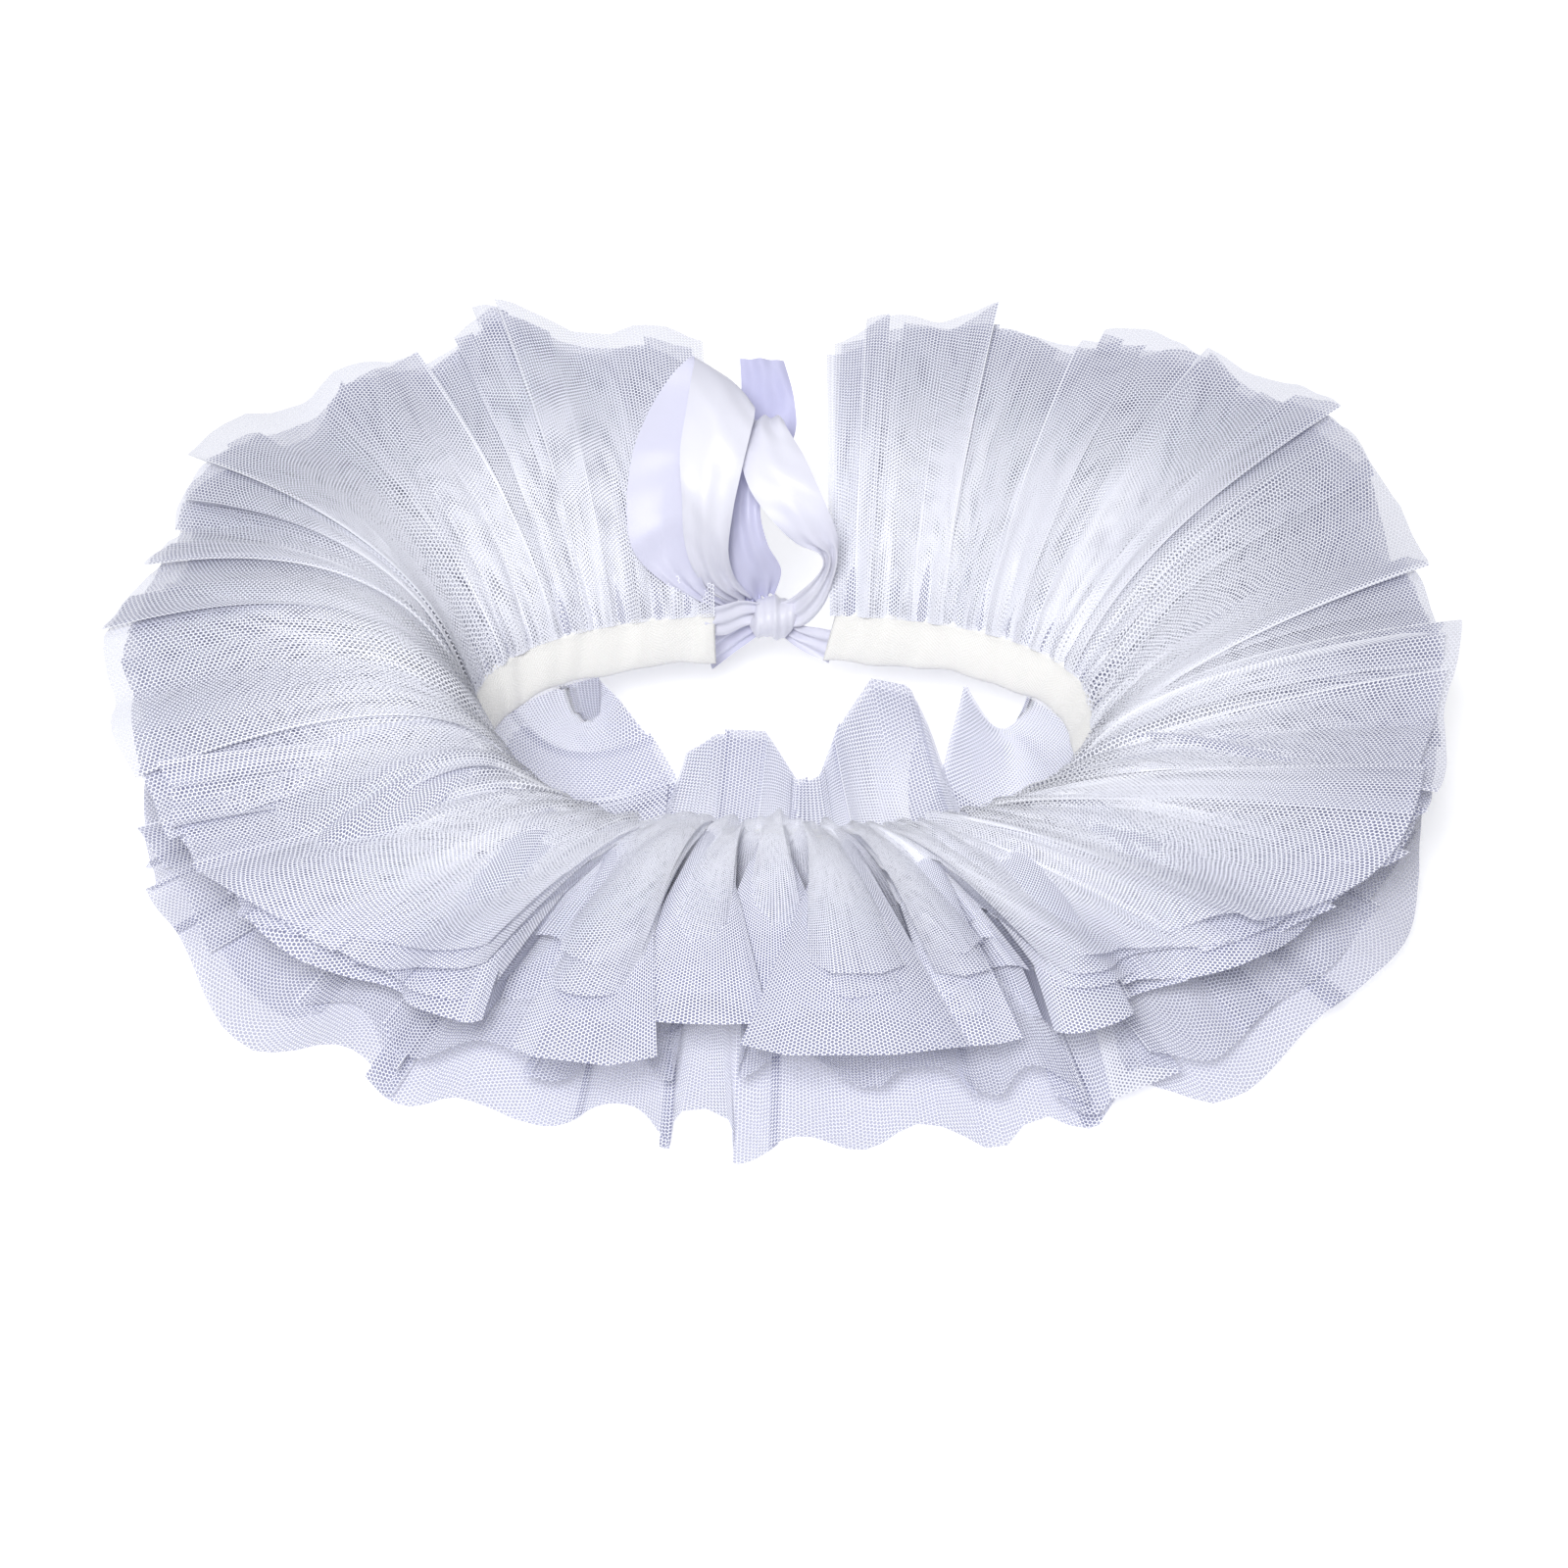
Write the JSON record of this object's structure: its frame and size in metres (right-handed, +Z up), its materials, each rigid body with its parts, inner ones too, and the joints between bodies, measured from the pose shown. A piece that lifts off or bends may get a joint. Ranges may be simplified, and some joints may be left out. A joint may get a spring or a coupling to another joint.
{
  "type": "ruff collar",
  "caption": "Ruff collar of gathered net ruffles on an oval neck binding, open at the back and tied with a satin ribbon bow.",
  "frame": {"origin": "centre of the collar's bounding box in plan, on the surface it rests on", "axes": "+Z up from the surface, -Y towards the front of the neck, +Y towards the bow at the back, +X along the collar's width"},
  "size_m": [0.334, 0.2367, 0.0872],
  "materials": {
    "white_net": "fine hexagonal net, slightly crisp, white with a cool tint",
    "cream_cotton": "matt plain-woven cotton binding",
    "white_satin": "smooth single-faced satin ribbon with woven edges"
  },
  "bodies": {
    "root": {"neckband": "cream_cotton", "upper_ruffle": "white_net", "lower_ruffle": "white_net", "inner_left": "white_net", "inner_front": "white_net", "inner_right": "white_net", "tie_left": "white_satin", "tie_right": "white_satin", "bow_knot": "white_satin", "bow_loop_left": "white_satin", "bow_loop_right": "white_satin", "tail_standing": "white_satin", "tail_short": "white_satin"}
  },
  "joints": []
}
